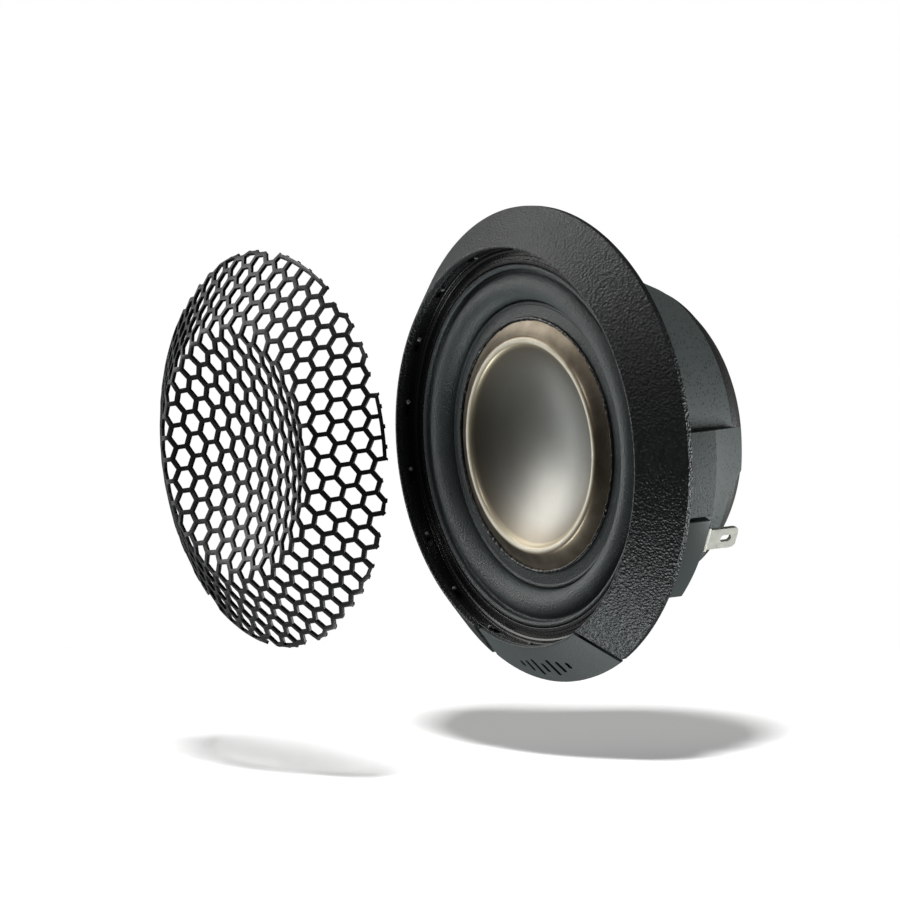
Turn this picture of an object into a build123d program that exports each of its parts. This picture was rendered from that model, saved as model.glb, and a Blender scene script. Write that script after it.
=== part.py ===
from build123d import *
import os
from math import cos, pi, radians, sqrt

# Car tweeter, shown with its grille drawn off the front.
# Millimetres. The speaker axis is Y, the front faces -Y and +Z is up.
# The origin is on the axis, in the plane where the flange seats on its panel.
# Profiles are (radius, y) points turned about the axis. Angles go round the
# axis from +X (0 degrees) towards +Z (90 degrees).

os.makedirs("parts", exist_ok=True)

# ---- driving dimensions --------------------------------------------------
FLANGE_R = 30.0           # outer radius of the trim ring
FLANGE_EDGE = 0.8         # thickness of the ring at its outer edge
LIP_R = 25.25             # crest of the lip round the recess
LIP_Y = -5.5
RECESS_R = 25.0           # inner wall of the recess that takes the grille
FLOOR_Y = -2.8            # floor of the recess

SPIGOT_R = 26.0           # collar behind the flange that centres in the panel hole
SPIGOT_LENGTH = 2.5
HOUSING_FRONT_R = 24.2    # the tapered shell, at the back of the collar
HOUSING_REAR_R = 19.06
HOUSING_REAR_Y = 14.7
HOUSING_WALL = 1.2
GUIDE_R = 25.85           # guide pads and terminal blocks, just inside the collar
PAD_REAR_Y = 6.8          # end of the full-radius part of a guide pad
PAD_SPAN = 24.0
BACK_Y = 19.1             # rear face of the rear cover

DOME_EDGE_R = 15.83       # outer edge of the M-shaped diaphragm
DOME_EDGE_Y = -1.78
CREST_R = 13.22
CREST_Y = -2.95
DISH_Y = 0.95             # bottom of the dish, on the axis
DOME_SHEET = 0.25

ROLL_IN_R = 18.23         # the half-roll of the surround
ROLL_OUT_R = 21.8
ROLL_CREST_Y = -3.15
SURROUND_SHEET = 0.4

COIL_R = 13.0             # inside of the coil former
GAP_OUTER_R = 14.1
YOKE_R = 16.6
POLE_R = 12.5
POLE_Y = 2.9              # front face of the pole plate
POLE_THICKNESS = 2.5
MAGNET_THICKNESS = 4.0
YOKE_FLOOR = 2.6

TAB_WIDTH = 2.8
TAB_LENGTH = 4.8
TAB_SHEET = 0.5
BLOCK_REAR_Y = 6.7
BLOCK_START = -49.0       # lower end of the right-hand terminal block
BLOCK_END = -22.3
TERMINAL_ANGLE = -28.6
FOOT_LENGTH = 2.85
LEAD_R = 0.4              # insulated lead, outside
LEAD_HOLE_R = 0.6

GRILLE_RIM_R = 24.5
GRILLE_CREST_R = 15.2
GRILLE_CREST = 5.75       # crest, in front of the rim
GRILLE_BOWL = 2.45        # middle of the bowl, in front of the rim
GRILLE_SHEET = 0.65
GRILLE_SEAT_Y = -3.7      # front of the rim when the grille is pressed home
GRILLE_TRAVEL = (-0.63, -37.85, 2.97)  # from the seat to the drawn-off place
GRILLE_BAND = 1.9         # no hole has its middle in this band inside the rim
HOLE_ACROSS_FLATS = 2.2
HOLE_PITCH = 2.78

BADGE_HALF_WIDTH = 10.5   # half width of the badge insert at the lip
BADGE_HALF_WIDTH_OUT = 14.3
BADGE_SLOT = 0.45
SNAP_COUNT = 18
CLEAR = 0.05              # working gap between touching pieces


# ---- helpers -------------------------------------------------------------
def turned(*points):
    """A solid of revolution about the speaker axis from a closed (r, y) outline."""
    return revolve(make_face(Polyline(*points, close=True)), Axis.Y, 360)


def sector(points, start, end):
    """The part of a turned solid between two angles."""
    solid = revolve(make_face(Polyline(*points, close=True)), Axis.Y, end - start)
    return Rot(0, -end, 0) * solid


def at_angle(shape, angle):
    """Turn a shape that was built at angle 0 to its place round the axis."""
    return Rot(0, -angle, 0) * shape


def prism(points, y_start, y_end):
    """A straight prism along Y from an (x, z) outline."""
    face = make_face(Polyline(*points, close=True))
    upright = Plane(origin=(0, y_start, 0), x_dir=(1, 0, 0), z_dir=(0, -1, 0)) * face
    return extrude(upright, amount=y_start - y_end)


def ring(inner, outer, y_front, y_rear):
    """A plain turned ring."""
    return turned((inner, y_front), (outer, y_front), (outer, y_rear), (inner, y_rear))


def disc(radius, y_front, y_rear, chamfer_size=0.3):
    """A solid disc with both rims chamfered."""
    c = chamfer_size
    return turned((0, y_front), (radius - c, y_front), (radius, y_front + c),
                  (radius, y_rear - c), (radius - c, y_rear), (0, y_rear))


def mirrored(shape):
    """The same shape on the other side of the middle plane."""
    return mirror(shape, Plane.YZ)


def write(name, shape):
    export_step(shape, f"parts/{name}.step")


# ---- front: trim ring, badge insert, chassis and clamp ring ----------------
CONE_SUM = FLANGE_R + FLANGE_EDGE         # r - y is constant along the 45 degree face


def ring_outline(sink):
    """Section of the trim ring; sink lowers its face, for the badge insert."""
    face = CONE_SUM - sink
    edge_y = FLANGE_R - face
    return [(RECESS_R + CLEAR, LIP_Y + 0.25 + sink), (LIP_R, LIP_Y + sink * 1.2),
            (FLANGE_R, edge_y), (FLANGE_R - 0.1, 0.0), (28.4, 0.0),
            (25.75, -2.65), (25.75, -4.6), (RECESS_R + CLEAR, -4.6)]


def badge_region(gap):
    """Prism that bounds the badge insert, narrowed on both sides by a gap."""
    inner = BADGE_HALF_WIDTH - gap
    outer = BADGE_HALF_WIDTH_OUT - gap
    return prism([(-inner, -22.5), (inner, -22.5), (outer, -27.5), (outer, -31.0),
                  (-outer, -31.0), (-outer, -27.5)], -7.0, 1.0)


def level_marks():
    """A row of engraved level bars, the generic mark on the badge insert."""
    bars = []
    for angle, length in [(-10, 1.0), (-6.7, 1.9), (-3.3, 2.9), (0, 1.6),
                          (3.3, 2.9), (6.7, 1.9), (10, 1.0)]:
        mid_r = 28.0
        mid_y = mid_r - CONE_SUM + 0.25
        place = Plane(origin=(mid_r, mid_y, 0), x_dir=(1, 1, 0), z_dir=(1, -1, 0))
        bars.append(at_angle(place * Box(length, 0.6, 0.6), 270 + angle))
    return bars


trim_ring = turned(*ring_outline(0.0)) - badge_region(0.0)
badge_insert = turned(*ring_outline(0.25)) & badge_region(BADGE_SLOT)
for bar in level_marks():
    badge_insert -= bar

front_chassis = turned((RECESS_R, -4.55), (25.65, -4.55), (25.65, -2.6), (28.25, 0.0),
                       (22.0, 0.0), (20.9, 2.6), (17.6, 2.6), (17.6, 6.0),
                       (YOKE_R + CLEAR, 6.0), (YOKE_R + CLEAR, 1.2), (20.2, 1.2),
                       (21.3, -1.2), (21.3, -1.9), (24.4, -1.9), (24.4, FLOOR_Y),
                       (RECESS_R, FLOOR_Y))
for index in range(SNAP_COUNT):
    notch = Pos(RECESS_R, -3.9, 0) * Rot(0, 90, 0) * Cylinder(0.5, 0.7)
    front_chassis -= at_angle(notch, 10 + index * 360 / SNAP_COUNT)
for index in range(6):
    vent = sector([(18.2, 0.8), (19.9, 0.8), (19.9, 3.0), (18.2, 3.0)],
                  index * 60 + 8, index * 60 + 44)
    front_chassis -= vent

# Three concentric steps fall from the inner edge of the clamp ring to the wall.
surround_clamp_ring = turned((22.98, -2.95), (23.45, -2.95), (23.5, -2.8), (23.9, -2.8),
                             (23.95, -2.65), (24.35, -2.65), (24.35, -2.4), (22.98, -2.4))

# ---- diaphragm: dome, glue line, surround and voice coil -------------------
def dome_outline(shift):
    """Front line of the M-shaped dome from its edge to the axis, moved back by shift."""
    edge = Line((DOME_EDGE_R, DOME_EDGE_Y + shift), (CREST_R + 0.45, CREST_Y + 0.2 + shift))
    crest = ThreePointArc((CREST_R + 0.45, CREST_Y + 0.2 + shift), (CREST_R, CREST_Y + shift),
                          (CREST_R - 0.45, CREST_Y + 0.25 + shift))
    rim_r = CREST_R - 0.45
    rim_y = CREST_Y + 0.25
    depth = DISH_Y - rim_y
    sphere_r = (rim_r ** 2 + depth ** 2) / (2 * depth)
    half_y = DISH_Y + sqrt(sphere_r ** 2 - (rim_r / 2) ** 2) - sphere_r
    dish = ThreePointArc((rim_r, rim_y + shift), (rim_r / 2, half_y + shift), (0, DISH_Y + shift))
    return edge, crest, dish


front_edge, front_crest, front_dish = dome_outline(0.0)
rear_edge, rear_crest, rear_dish = dome_outline(DOME_SHEET)
dome_face = make_face([front_edge, front_crest, front_dish,
                       Line((0, DISH_Y), (0, DISH_Y + DOME_SHEET)),
                       rear_dish, rear_crest, rear_edge,
                       Line((DOME_EDGE_R, DOME_EDGE_Y + DOME_SHEET), (DOME_EDGE_R, DOME_EDGE_Y))])
dome = revolve(dome_face, Axis.Y, 360)

dome_adhesive = turned((DOME_EDGE_R, -2.0), (DOME_EDGE_R + 0.12, -2.12), (DOME_EDGE_R + 0.3, -2.0),
                       (DOME_EDGE_R + 0.35, -1.93), (DOME_EDGE_R, -1.84))


def surround_line(shift):
    """Front line of the surround from its inner edge to its clamped flange."""
    land = Line((DOME_EDGE_R + 0.02, -1.8 + shift), (ROLL_IN_R, -1.35 + shift))
    mid_r = (ROLL_IN_R + ROLL_OUT_R) / 2
    roll = ThreePointArc((ROLL_IN_R, -1.35 + shift), (mid_r, ROLL_CREST_Y + shift),
                         (ROLL_OUT_R, -2.35 + shift))
    bead_start = Line((ROLL_OUT_R, -2.35 + shift), (22.2, -2.5 + shift))
    bead = ThreePointArc((22.2, -2.5 + shift), (22.55, -3.0 + shift), (22.9, -2.5 + shift))
    return land, roll, bead_start, bead


surround_front = surround_line(0.0)
surround_rear = surround_line(SURROUND_SHEET)
surround_face = make_face([*surround_front, Line((22.9, -2.5), (22.9, -2.1)),
                           *surround_rear,
                           Line((DOME_EDGE_R + 0.02, -1.8 + SURROUND_SHEET),
                                (DOME_EDGE_R + 0.02, -1.8))])
surround = revolve(surround_face, Axis.Y, 360)
surround += ring(22.3, 24.3, -2.3, -1.95)

coil_front = CREST_Y + DOME_SHEET + 0.08
coil_former = ring(COIL_R, COIL_R + 0.2, coil_front, POLE_Y + POLE_THICKNESS + 0.3)
coil_winding = ring(COIL_R + 0.2, COIL_R + 0.6, POLE_Y - 0.3, POLE_Y + POLE_THICKNESS + 0.2)

# ---- motor -----------------------------------------------------------------
plate_rear = POLE_Y + POLE_THICKNESS
magnet_rear = plate_rear + MAGNET_THICKNESS
yoke_rear = magnet_rear + YOKE_FLOOR
pole_plate = disc(POLE_R, POLE_Y, plate_rear, 0.2)
copper_cap = turned((0, POLE_Y - 0.15), (POLE_R + 0.15, POLE_Y - 0.15), (POLE_R + 0.15, plate_rear),
                    (POLE_R, plate_rear), (POLE_R, POLE_Y), (0, POLE_Y))
magnet_disc = disc(12.0, plate_rear, magnet_rear)
yoke_cup = turned((0, magnet_rear), (GAP_OUTER_R, magnet_rear), (GAP_OUTER_R, POLE_Y),
                  (YOKE_R - 0.4, POLE_Y), (YOKE_R, POLE_Y + 0.4), (YOKE_R, yoke_rear - 0.8),
                  (YOKE_R - 0.8, yoke_rear), (0, yoke_rear))
dome_damping_pad = disc(8.5, 1.95, POLE_Y - 0.15, 0.2)
rear_chamber_foam = disc(15.6, yoke_rear, 17.2, 0.8)

# ---- rear: housing with its two guide pads, rear cover ---------------------
taper = (HOUSING_FRONT_R - HOUSING_REAR_R) / (HOUSING_REAR_Y - SPIGOT_LENGTH)


def shell_r(y):
    """Outer radius of the tapered shell at a depth y."""
    return HOUSING_FRONT_R - taper * (y - SPIGOT_LENGTH)


housing = turned((22.2, CLEAR), (SPIGOT_R, CLEAR), (SPIGOT_R, SPIGOT_LENGTH),
                 (HOUSING_FRONT_R, SPIGOT_LENGTH), (HOUSING_REAR_R, HOUSING_REAR_Y),
                 (HOUSING_REAR_R - HOUSING_WALL, HOUSING_REAR_Y),
                 (HOUSING_FRONT_R - HOUSING_WALL, SPIGOT_LENGTH), (22.2, 1.5))
pad_outline = [(22.6, SPIGOT_LENGTH - 0.3), (GUIDE_R, SPIGOT_LENGTH - 0.3), (GUIDE_R, PAD_REAR_Y),
               (20.8, 14.65), (18.9, 14.65)]
pad = sector(pad_outline, 3.0 - PAD_SPAN, 3.0)
# The lower rear corner of the pad is cut away on a slant.
corner = Plane(origin=(0, PAD_REAR_Y, 0), x_dir=(0, 1, 0), z_dir=(1, 0, 0)) * make_face(
    Polyline((0, -10.6), (9, -3.4), (9, -14), (0, -14), close=True))
pad -= extrude(corner, amount=30)
for guide in (pad, mirrored(pad)):
    housing += guide


# Each lead leaves the shell through a small hole above its terminal.
LEAD_INSIDE = Vector(19.0, 9.0, 0)
LEAD_OUTSIDE = Vector(23.6, 8.5, 0)
hole_axis = Plane(origin=LEAD_INSIDE, z_dir=LEAD_OUTSIDE - LEAD_INSIDE)
lead_hole = hole_axis * Cylinder(LEAD_HOLE_R, 4.4, align=(Align.CENTER, Align.CENTER, Align.MIN))
lead_hole = at_angle(lead_hole, TERMINAL_ANGLE)
for hole in (lead_hole, mirrored(lead_hole)):
    housing -= hole
housing = housing.solids().sort_by(SortBy.VOLUME)[-1]

cover_outline = make_face([
    Line((0, 17.8), (13.8, 17.8)), ThreePointArc((13.8, 17.8), (16.1, 16.7), (17.5, 14.9)),
    Line((17.5, 14.9), (17.5, 13.4)), Line((17.5, 13.4), (17.2, 13.4)),
    Line((17.2, 13.4), (17.2, 12.6)), Line((17.2, 12.6), (18.0, 12.6)),
    Line((18.0, 12.6), (17.8, HOUSING_REAR_Y + CLEAR)),
    Line((17.8, HOUSING_REAR_Y + CLEAR), (18.75, HOUSING_REAR_Y + CLEAR)),
    ThreePointArc((18.75, HOUSING_REAR_Y + CLEAR), (17.3, 17.2), (14.4, BACK_Y)),
    Line((14.4, BACK_Y), (0, BACK_Y)), Line((0, BACK_Y), (0, 17.8))])
rear_cover = revolve(cover_outline, Axis.Y, 360)

# ---- terminals -------------------------------------------------------------
block_outline = [(21.2, SPIGOT_LENGTH + CLEAR), (GUIDE_R, SPIGOT_LENGTH + CLEAR),
                 (GUIDE_R, BLOCK_REAR_Y), (21.2, BLOCK_REAR_Y)]
block_cutter = turned((0, 2), (shell_r(2) + CLEAR, 2), (shell_r(7) + CLEAR, 7), (0, 7))
block = sector(block_outline, BLOCK_START, BLOCK_END) - block_cutter

# A terminal is one strip: a foot on the block's rear face and a blade to the rear.
blade_r = GUIDE_R - 0.3
foot_r = blade_r - FOOT_LENGTH / 2
foot = Pos(foot_r, BLOCK_REAR_Y + TAB_SHEET / 2, 0) * Box(FOOT_LENGTH, TAB_SHEET, TAB_WIDTH)
blade = Pos(blade_r, BLOCK_REAR_Y + TAB_LENGTH / 2, 0) * Box(TAB_SHEET, TAB_LENGTH, TAB_WIDTH)
rear_corners = (foot + blade).edges().filter_by(Axis.X).group_by(Axis.Y)[-1]
terminal = chamfer(rear_corners, 0.5)
slot_place = Plane(origin=(blade_r, BLOCK_REAR_Y + 3.1, 0), x_dir=(0, 1, 0), z_dir=(1, 0, 0))
terminal -= extrude(slot_place * SlotOverall(1.5, 0.9), amount=1, both=True)
terminal = at_angle(terminal, TERMINAL_ANGLE)

# Each lead runs back past the yoke, out through the shell and down to its foot.
foot_top = BLOCK_REAR_Y + TAB_SHEET
LEAD_BEND = 0.6
lead_path = FilletPolyline((19.0, 0.6, 0), LEAD_INSIDE, LEAD_OUTSIDE, (23.6, foot_top + 0.05, 0),
                           radius=LEAD_BEND)
lead = sweep(Plane(origin=lead_path @ 0, z_dir=lead_path % 0) * Circle(LEAD_R), path=lead_path)
lead = at_angle(lead, TERMINAL_ANGLE)
print("lead bends", LEAD_BEND, "volume", round(lead.volume, 2),
      "section times length", round(pi * LEAD_R ** 2 * lead_path.length, 2))
solder = turned((0, 0), (0.8, 0), (0.72, 0.25), (0.5, 0.5), (0, 0.5))
solder = at_angle(Pos(23.6, foot_top, 0) * solder, TERMINAL_ANGLE)

# ---- grille ----------------------------------------------------------------
def grille_line(shift):
    """Front line of the grille from its rim to the axis, in front of y = 0."""
    flank = Line((GRILLE_RIM_R, shift), (16.3, -5.32 + shift))
    crest = ThreePointArc((16.3, -5.32 + shift), (GRILLE_CREST_R, -GRILLE_CREST + shift),
                          (13.9, -5.35 + shift))
    bowl = ThreePointArc((13.9, -5.35 + shift), (7.0, -GRILLE_BOWL - 0.75 + shift),
                         (0, -GRILLE_BOWL + shift))
    return flank, crest, bowl


flank, crest, bowl = grille_line(0.0)
back_flank, back_crest, back_bowl = grille_line(GRILLE_SHEET)
grille_face = make_face([flank, crest, bowl,
                         Line((0, -GRILLE_BOWL), (0, -GRILLE_BOWL + GRILLE_SHEET)),
                         back_bowl, back_crest, back_flank,
                         Line((GRILLE_RIM_R, GRILLE_SHEET), (GRILLE_RIM_R, 0))])
grille_shell = revolve(grille_face, Axis.Y, 360)
column_step = HOLE_PITCH * cos(radians(30))
steps = int(GRILLE_RIM_R / column_step) + 2
holes = []
for column in range(-steps, steps + 1):
    x = column * column_step
    for row in range(-steps, steps + 1):
        z = (row + 0.5 * (column % 2)) * HOLE_PITCH
        if sqrt(x * x + z * z) < GRILLE_RIM_R - GRILLE_BAND:
            holes.append((x, z))
hex_face = RegularPolygon(radius=HOLE_ACROSS_FLATS / 2, side_count=6, major_radius=False)
hole_plane = Plane(origin=(0, 2, 0), x_dir=(1, 0, 0), z_dir=(0, -1, 0))
hole_tools = [extrude(hole_plane * Pos(x, z) * hex_face, amount=12) for x, z in holes]
grille_mesh = grille_shell - hole_tools
drawn_off = [a + b for a, b in zip((0, GRILLE_SEAT_Y, 0), GRILLE_TRAVEL)]
grille_mesh = Pos(*drawn_off) * grille_mesh

# ---- write one file per piece ----------------------------------------------
pieces = {
    "trim_ring": trim_ring,
    "badge_insert": badge_insert,
    "front_chassis": front_chassis,
    "surround_clamp_ring": surround_clamp_ring,
    "surround": surround,
    "dome": dome,
    "dome_adhesive": dome_adhesive,
    "coil_former": coil_former,
    "coil_winding": coil_winding,
    "dome_damping_pad": dome_damping_pad,
    "copper_cap": copper_cap,
    "pole_plate": pole_plate,
    "magnet_disc": magnet_disc,
    "yoke_cup": yoke_cup,
    "rear_chamber_foam": rear_chamber_foam,
    "housing": housing,
    "rear_cover": rear_cover,
    "terminal_block_right": block,
    "terminal_block_left": mirrored(block),
    "terminal_right": terminal,
    "terminal_left": mirrored(terminal),
    "lead_wire_right": lead,
    "lead_wire_left": mirrored(lead),
    "solder_joints": Compound([solder, mirrored(solder)]),
    "grille_mesh": grille_mesh,
}
for name, shape in pieces.items():
    write(name, shape)
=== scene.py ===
"""Looks for a car tweeter whose honeycomb grille is drawn off its front.

Outlines are (radius, y) points in millimetres about the speaker axis, which is Y.
Angles go round the axis from +X towards +Z, so the bottom is at 270 degrees.
"""

from math import acos, atan2, ceil, cos, hypot, pi, radians, sin, sqrt, tan

import bmesh
import bpy
import numpy as np
from mathutils import Matrix, Vector, noise


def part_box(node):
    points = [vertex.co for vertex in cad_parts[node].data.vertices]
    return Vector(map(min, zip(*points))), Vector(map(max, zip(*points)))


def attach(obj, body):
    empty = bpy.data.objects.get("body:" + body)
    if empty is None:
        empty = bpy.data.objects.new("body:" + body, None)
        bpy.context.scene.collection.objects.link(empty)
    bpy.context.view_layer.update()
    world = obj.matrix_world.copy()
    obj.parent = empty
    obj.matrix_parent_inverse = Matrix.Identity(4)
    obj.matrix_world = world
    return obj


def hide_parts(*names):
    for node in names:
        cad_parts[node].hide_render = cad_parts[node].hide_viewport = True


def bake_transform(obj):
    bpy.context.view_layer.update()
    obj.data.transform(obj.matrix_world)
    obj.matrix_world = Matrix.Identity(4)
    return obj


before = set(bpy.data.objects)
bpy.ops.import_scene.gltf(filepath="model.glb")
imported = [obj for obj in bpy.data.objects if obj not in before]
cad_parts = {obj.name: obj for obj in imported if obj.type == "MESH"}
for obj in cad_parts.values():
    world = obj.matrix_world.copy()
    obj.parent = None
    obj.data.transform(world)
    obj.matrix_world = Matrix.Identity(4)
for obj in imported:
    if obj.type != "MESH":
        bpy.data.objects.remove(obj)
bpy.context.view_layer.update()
MM = 0.001


# ---- sizes taken from the frame -------------------------------------------
def box_mm(node):
    """Lowest and highest corner of a CAD node, in millimetres."""
    low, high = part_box(node)
    return Vector(low) / MM, Vector(high) / MM


ring_low, ring_high = box_mm("trim_ring")
FLANGE_R = ring_high.x
LIP_Y = ring_low.y
FLANGE_EDGE = 0.8
RECESS_R = 25.0
FLOOR_Y = -2.8
BACK_Y = box_mm("rear_cover")[1].y
housing_high = box_mm("housing")[1]
SPIGOT_R = housing_high.x
HOUSING_REAR_Y = housing_high.y
BLOCK_REAR_Y = box_mm("terminal_block_right")[1].y
GUIDE_R = SPIGOT_R - 0.15
SIDES = ((1, "right"), (-1, "left"))
grille_low, grille_high = box_mm("grille_mesh")
GRILLE_R = (grille_high.x - grille_low.x) / 2
GRILLE_X = (grille_high.x + grille_low.x) / 2
GRILLE_Z = (grille_high.z + grille_low.z) / 2
GRILLE_BACK_Y = grille_high.y


# ---- outline tools ---------------------------------------------------------
def arc(start, via, end, steps):
    """Points of the circle through three points, from the first to the last."""
    (ax, ay), (bx, by), (cx, cy) = start, via, end
    d = 2 * (ax * (by - cy) + bx * (cy - ay) + cx * (ay - by))
    a2, b2, c2 = ax * ax + ay * ay, bx * bx + by * by, cx * cx + cy * cy
    ux = (a2 * (by - cy) + b2 * (cy - ay) + c2 * (ay - by)) / d
    uy = (a2 * (cx - bx) + b2 * (ax - cx) + c2 * (bx - ax)) / d
    radius = hypot(ax - ux, ay - uy)
    first = atan2(ay - uy, ax - ux)
    middle = (atan2(by - uy, bx - ux) - first) % (2 * pi)
    turn = (atan2(cy - uy, cx - ux) - first) % (2 * pi)
    if middle > turn:
        turn -= 2 * pi
    angles = [first + turn * k / steps for k in range(steps + 1)]
    return [(ux + radius * cos(t), uy + radius * sin(t)) for t in angles]


def rounded(points, radius=0.15):
    """A closed outline with its corners rounded; a third value in a point is its own radius."""
    steps = 4
    out = []
    count = len(points)
    for index in range(count):
        corner = np.array(points[index][:2], float)
        before = np.array(points[index - 1][:2], float) - corner
        after = np.array(points[(index + 1) % count][:2], float) - corner
        size = points[index][2] if len(points[index]) > 2 else radius
        la, lb = np.linalg.norm(before), np.linalg.norm(after)
        turn = acos(max(-1.0, min(1.0, float(before @ after) / (la * lb))))
        if size <= 0 or turn > radians(176):
            out.append(tuple(corner))
            continue
        reach = min(size / tan(turn / 2), 0.45 * la, 0.45 * lb)
        a, b = corner + before / la * reach, corner + after / lb * reach
        for k in range(steps + 1):
            t = k / steps
            out.append(tuple((1 - t) ** 2 * a + 2 * t * (1 - t) * corner + t * t * b))
    return out


def divided(points, longest):
    """A closed outline with long sides cut into shorter ones."""
    out = []
    for index, start in enumerate(points):
        end = points[(index + 1) % len(points)]
        parts = max(1, ceil(hypot(end[0] - start[0], end[1] - start[1]) / longest))
        for k in range(parts):
            t = k / parts
            out.append((start[0] + (end[0] - start[0]) * t, start[1] + (end[1] - start[1]) * t))
    return out


# ---- mesh tools ------------------------------------------------------------
def finish_mesh(name, verts, faces, sharp=32):
    """A mesh object from millimetre points, welded, facing outwards and smooth but for sharp edges."""
    mesh = bpy.data.meshes.new(name)
    mesh.from_pydata([tuple(v) for v in np.asarray(verts) * MM], [], faces)
    work = bmesh.new()
    work.from_mesh(mesh)
    bmesh.ops.remove_doubles(work, verts=work.verts, dist=1e-7)
    bmesh.ops.recalc_face_normals(work, faces=work.faces)
    work.to_mesh(mesh)
    work.free()
    mesh.shade_smooth()
    mesh.set_sharp_from_angle(angle=radians(sharp))
    piece = bpy.data.objects.new(name, mesh)
    bpy.context.scene.collection.objects.link(piece)
    return piece


def lathe(name, outline, steps=256, span=None, relief=None, sharp=32):
    """Turn a closed outline about the speaker axis.

    span(r) gives the first and last angle at a radius for a part turn.
    relief(points, normals) gives how far each point moves along its normal.
    """
    r, y = np.array(outline, float).T
    count = len(r)
    columns = steps if span is None else steps + 1
    u = np.arange(columns) / steps
    if span is None:
        theta = np.tile(2 * pi * u, (count, 1))
    else:
        ends = np.radians([span(value) for value in r])
        theta = ends[:, :1] + (ends[:, 1:] - ends[:, :1]) * u
    tangent = np.stack([np.roll(r, -1) - np.roll(r, 1), np.roll(y, -1) - np.roll(y, 1)], 1)
    normal = np.stack([tangent[:, 1], -tangent[:, 0]], 1)
    normal /= np.linalg.norm(normal, axis=1)[:, None] + 1e-12
    area = np.sum(r * np.roll(y, -1) - np.roll(r, -1) * y)
    if area < 0:
        normal = -normal
    points = np.stack([r[:, None] * np.cos(theta), np.tile(y[:, None], columns),
                       r[:, None] * np.sin(theta)], -1)
    if relief is not None:
        normals = np.stack([normal[:, :1] * np.cos(theta), np.tile(normal[:, 1:], columns),
                            normal[:, :1] * np.sin(theta)], -1)
        points = points + normals * relief(points, normals)[..., None]
    faces = []
    last = columns if span is None else columns - 1
    for i in range(count):
        k = (i + 1) % count
        for j in range(last):
            m = (j + 1) % columns
            faces.append((i * columns + j, i * columns + m, k * columns + m, k * columns + j))
    if span is not None:
        faces.append([i * columns for i in range(count)])
        faces.append([i * columns + columns - 1 for i in reversed(range(count))])
    return finish_mesh(name, points.reshape(-1, 3), faces, sharp)


def join(name, pieces, sharp=32):
    """One object under a new name from several, which go."""
    work = bmesh.new()
    for piece in pieces:
        work.from_mesh(piece.data)
    mesh = bpy.data.meshes.new(name)
    work.to_mesh(mesh)
    work.free()
    mesh.shade_smooth()
    mesh.set_sharp_from_angle(angle=radians(sharp))
    for piece in pieces:
        bpy.data.objects.remove(piece)
    joined = bpy.data.objects.new(name, mesh)
    bpy.context.scene.collection.objects.link(joined)
    return joined


def cut(piece, tools, sharp=32, operation="DIFFERENCE"):
    """Cut tools out of a piece, or add them to it, for good."""
    tool = join("tool", tools)
    step = piece.modifiers.new("cut", "BOOLEAN")
    step.operation = operation
    step.object = tool
    step.solver = "EXACT"
    apply_modifiers(piece)
    bpy.data.objects.remove(tool)
    piece.data.shade_smooth()
    piece.data.set_sharp_from_angle(angle=radians(sharp))
    return piece


def apply_modifiers(piece):
    """Replace a piece's mesh by what its modifiers make of it."""
    graph = bpy.context.evaluated_depsgraph_get()
    mesh = bpy.data.meshes.new_from_object(piece.evaluated_get(graph))
    piece.modifiers.clear()
    piece.data = mesh


def bevelled(piece, width, segments=3, angle=40):
    """Round a piece's sharp edges."""
    step = piece.modifiers.new("bevel", "BEVEL")
    step.width = width * MM
    step.segments = segments
    step.limit_method = "ANGLE"
    step.angle_limit = radians(angle)
    step.harden_normals = False
    apply_modifiers(piece)
    piece.data.shade_smooth()
    piece.data.set_sharp_from_angle(angle=radians(50))
    return piece


def slab(name, outline, depth, place):
    """A closed flat outline in millimetres, thickened by depth along its own z, put in place."""
    count = len(outline)
    verts = [place @ Vector((x, y, z)) for z in (0.0, depth) for x, y in outline]
    faces = [list(range(count)), list(reversed(range(count, 2 * count)))]
    faces += [(i, (i + 1) % count, count + (i + 1) % count, count + i) for i in range(count)]
    return finish_mesh(name, [tuple(v) for v in verts], faces)


def placed(at, x_dir, z_dir):
    """Millimetre placement of a flat outline: its origin, its x direction and its normal."""
    z = Vector(z_dir).normalized()
    x = (Vector(x_dir) - z * Vector(x_dir).dot(z)).normalized()
    return Matrix.Translation(Vector(at)) @ Matrix((x, z.cross(x), z)).transposed().to_4x4()


def round_axis(angle, radius, y):
    """The point at an angle round the speaker axis."""
    return Vector((radius * cos(radians(angle)), y, radius * sin(radians(angle))))


# ---- material tools --------------------------------------------------------
def shader(name, **values):
    """A new material with its node tree, its shader and the texture coordinates."""
    material = bpy.data.materials.new(name)
    material.use_nodes = True
    nodes = material.node_tree.nodes
    bsdf = nodes["Principled BSDF"]
    for key, value in values.items():
        bsdf.inputs[key.replace("_", " ")].default_value = value
    place = nodes.new("ShaderNodeTexCoord")
    return material, nodes, material.node_tree.links, bsdf, place


def add_noise(nodes, links, place, scale, detail):
    """Clouds of a given scale, in turns per metre."""
    texture = nodes.new("ShaderNodeTexNoise")
    texture.inputs["Scale"].default_value = scale
    texture.inputs["Detail"].default_value = detail
    texture.inputs["Roughness"].default_value = 0.55
    links.new(place.outputs["Object"], texture.inputs["Vector"])
    return texture.outputs["Fac"]


def add_cells(nodes, links, place, scale, smooth=0.5):
    """The distance to the middle of the nearest cell."""
    texture = nodes.new("ShaderNodeTexVoronoi")
    texture.feature = "SMOOTH_F1"
    texture.inputs["Scale"].default_value = scale
    texture.inputs["Smoothness"].default_value = smooth
    links.new(place.outputs["Object"], texture.inputs["Vector"])
    return texture.outputs["Distance"]


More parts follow.
